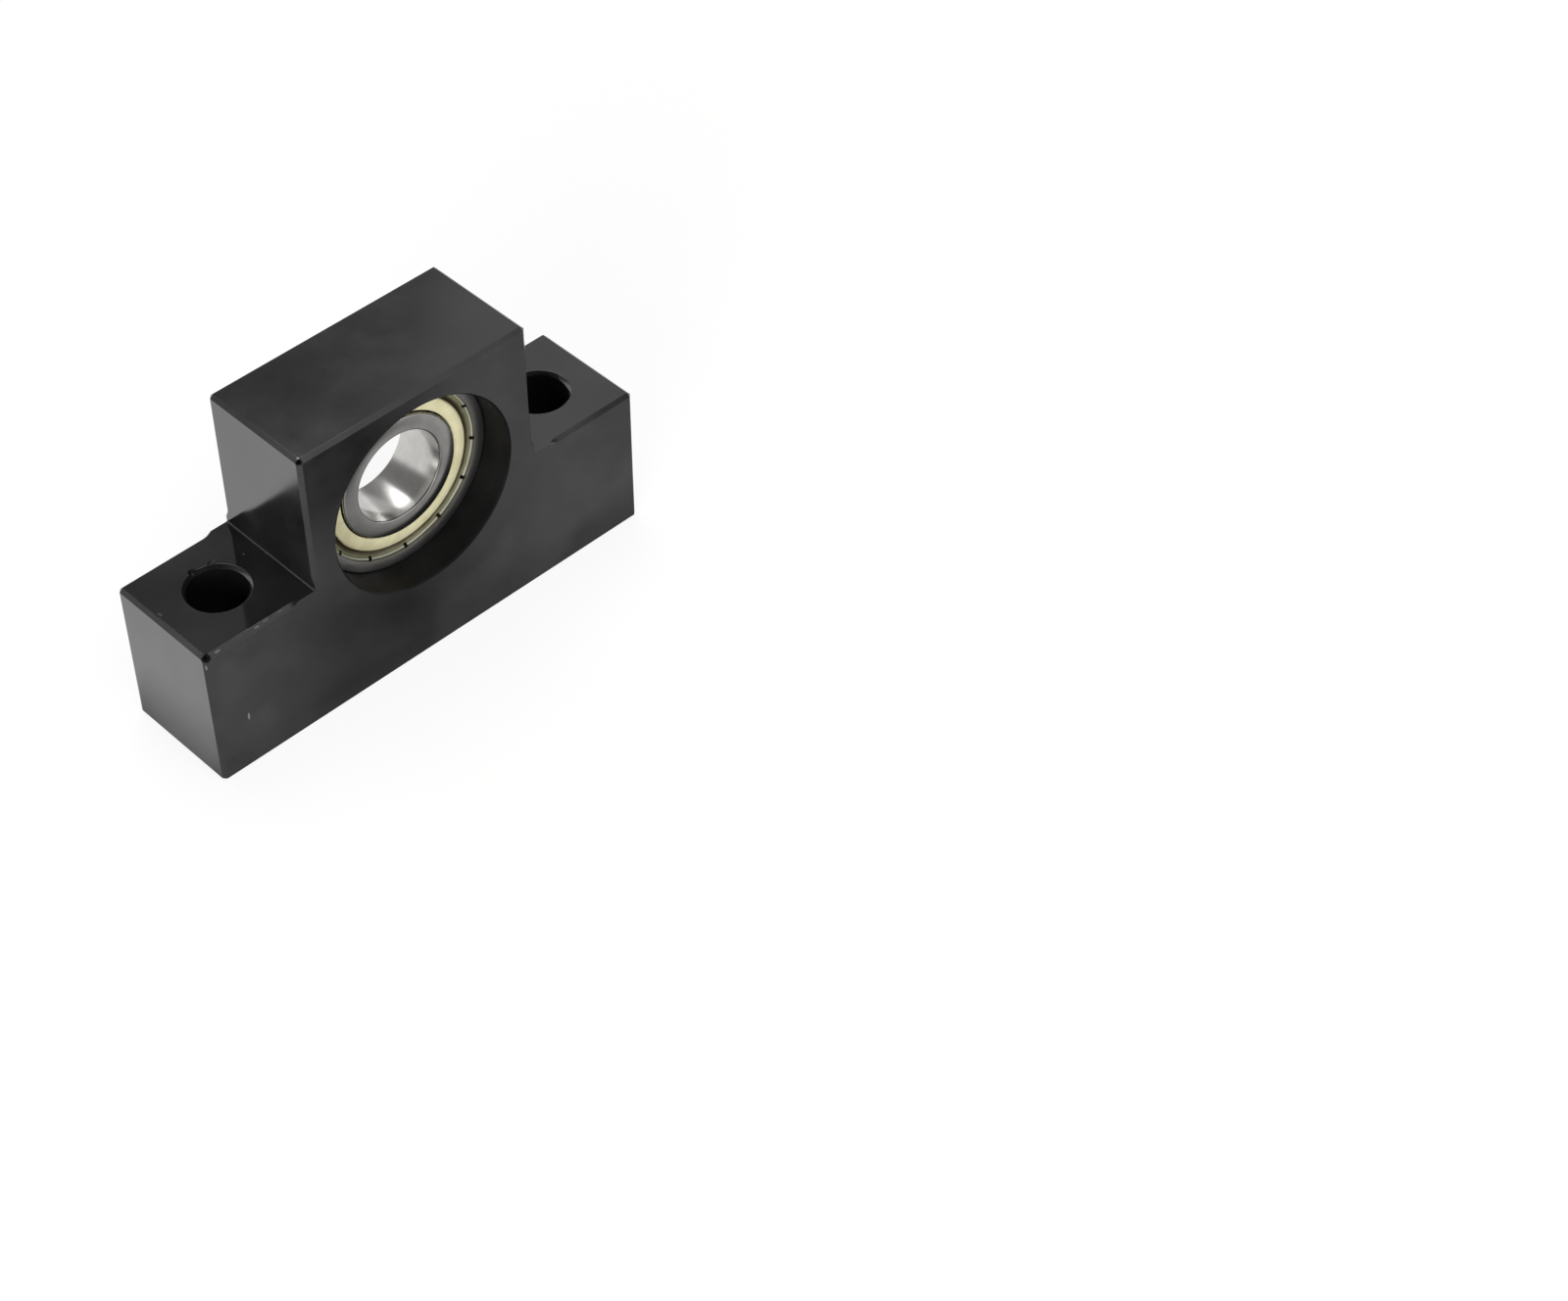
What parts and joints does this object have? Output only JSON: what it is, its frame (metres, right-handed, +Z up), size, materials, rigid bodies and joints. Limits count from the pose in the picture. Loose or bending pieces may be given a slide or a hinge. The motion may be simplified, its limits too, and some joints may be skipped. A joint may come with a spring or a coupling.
{
  "type": "ball screw end support",
  "caption": "Stepped black steel block with a shielded ball bearing in its bore that carries the free end of a ball screw and bolts down through its ears.",
  "frame": {"origin": "middle of the base face", "axes": "+X along the block, -Y towards the screw that comes in, +Z up"},
  "size_m": [0.08, 0.02, 0.049],
  "materials": {
    "blackened_steel": "ground and blackened, semi-gloss",
    "bearing_steel": "ground and polished",
    "cage_steel": "pressed, bright",
    "shield_steel": "pressed sheet with a warm tinted plating, polished"
  },
  "bodies": {
    "housing": {"housing": "blackened_steel", "outer_ring": "bearing_steel", "shield_front": "shield_steel", "shield_back": "shield_steel"},
    "inner_ring": {"inner_ring": "bearing_steel"},
    "cage": {"cage_front": "cage_steel", "cage_back": "cage_steel", "cage_rivet_1": "cage_steel", "cage_rivet_2": "cage_steel", "cage_rivet_3": "cage_steel", "cage_rivet_4": "cage_steel", "cage_rivet_5": "cage_steel", "cage_rivet_6": "cage_steel", "cage_rivet_7": "cage_steel", "cage_rivet_8": "cage_steel", "cage_rivet_9": "cage_steel"},
    "ball_1": {"ball_1": "bearing_steel"},
    "ball_2": {"ball_2": "bearing_steel"},
    "ball_3": {"ball_3": "bearing_steel"},
    "ball_4": {"ball_4": "bearing_steel"},
    "ball_5": {"ball_5": "bearing_steel"},
    "ball_6": {"ball_6": "bearing_steel"},
    "ball_7": {"ball_7": "bearing_steel"},
    "ball_8": {"ball_8": "bearing_steel"},
    "ball_9": {"ball_9": "bearing_steel"}
  },
  "joints": [
    {"name": "inner_ring_spin", "type": "hinge", "parent": "housing", "child": "inner_ring", "pos_m": [0, 0, 0.03], "axis": [0, 1, 0], "continuous": true},
    {"name": "cage_orbit", "type": "hinge", "parent": "housing", "child": "cage", "pos_m": [0, 0, 0.03], "axis": [0, 1, 0], "continuous": true},
    {"name": "ball_1_spin", "type": "hinge", "parent": "cage", "child": "ball_1", "pos_m": [0, 0, 0.04175], "axis": [0, 1, 0], "continuous": true},
    {"name": "ball_2_spin", "type": "hinge", "parent": "cage", "child": "ball_2", "pos_m": [-0.00755, 0, 0.039], "axis": [0, 1, 0], "continuous": true},
    {"name": "ball_3_spin", "type": "hinge", "parent": "cage", "child": "ball_3", "pos_m": [-0.01157, 0, 0.03204], "axis": [0, 1, 0], "continuous": true},
    {"name": "ball_4_spin", "type": "hinge", "parent": "cage", "child": "ball_4", "pos_m": [-0.01018, 0, 0.02413], "axis": [0, 1, 0], "continuous": true},
    {"name": "ball_5_spin", "type": "hinge", "parent": "cage", "child": "ball_5", "pos_m": [-0.00402, 0, 0.01896], "axis": [0, 1, 0], "continuous": true},
    {"name": "ball_6_spin", "type": "hinge", "parent": "cage", "child": "ball_6", "pos_m": [0.00402, 0, 0.01896], "axis": [0, 1, 0], "continuous": true},
    {"name": "ball_7_spin", "type": "hinge", "parent": "cage", "child": "ball_7", "pos_m": [0.01018, 0, 0.02413], "axis": [0, 1, 0], "continuous": true},
    {"name": "ball_8_spin", "type": "hinge", "parent": "cage", "child": "ball_8", "pos_m": [0.01157, 0, 0.03204], "axis": [0, 1, 0], "continuous": true},
    {"name": "ball_9_spin", "type": "hinge", "parent": "cage", "child": "ball_9", "pos_m": [0.00755, 0, 0.039], "axis": [0, 1, 0], "continuous": true}
  ],
  "couplings": [
    {"joint": "cage_orbit", "follows": "inner_ring_spin", "ratio": 0.39867},
    {"joint": "ball_1_spin", "follows": "inner_ring_spin", "ratio": -2.3659},
    {"joint": "ball_2_spin", "follows": "inner_ring_spin", "ratio": -2.3659},
    {"joint": "ball_3_spin", "follows": "inner_ring_spin", "ratio": -2.3659},
    {"joint": "ball_4_spin", "follows": "inner_ring_spin", "ratio": -2.3659},
    {"joint": "ball_5_spin", "follows": "inner_ring_spin", "ratio": -2.3659},
    {"joint": "ball_6_spin", "follows": "inner_ring_spin", "ratio": -2.3659},
    {"joint": "ball_7_spin", "follows": "inner_ring_spin", "ratio": -2.3659},
    {"joint": "ball_8_spin", "follows": "inner_ring_spin", "ratio": -2.3659},
    {"joint": "ball_9_spin", "follows": "inner_ring_spin", "ratio": -2.3659}
  ]
}
